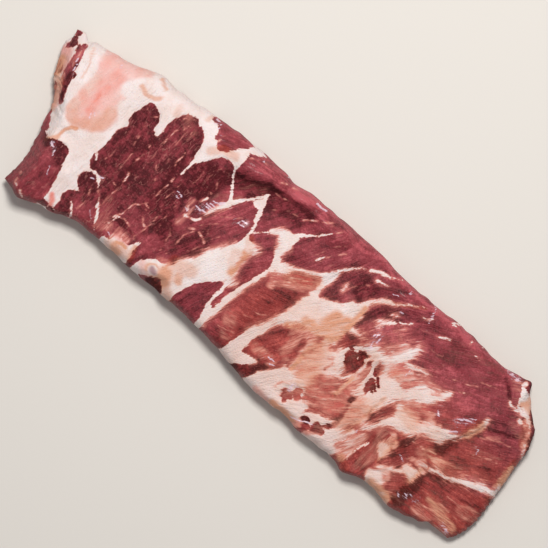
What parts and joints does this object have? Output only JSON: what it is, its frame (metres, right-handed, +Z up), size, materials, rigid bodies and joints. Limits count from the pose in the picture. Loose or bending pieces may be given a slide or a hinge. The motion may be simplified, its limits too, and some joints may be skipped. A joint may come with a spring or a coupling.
{
  "type": "raw rack of ribs",
  "caption": "Raw rack of pork spare ribs, trimmed square, lying flat on its bone side with the marbled meat side up.",
  "frame": {"origin": "centre of the rack's box, at the flat backs of the ribs that it lies on", "axes": "+X along the rack from the shoulder end to the belly end, +Y across it towards the backbone edge, +Z up through the meat side"},
  "size_m": [0.4424, 0.1458, 0.0336],
  "materials": {
    "raw_meat": "wet raw meat with fat seams"
  },
  "bodies": {
    "root": {"rib_rack": "raw_meat"}
  },
  "joints": []
}
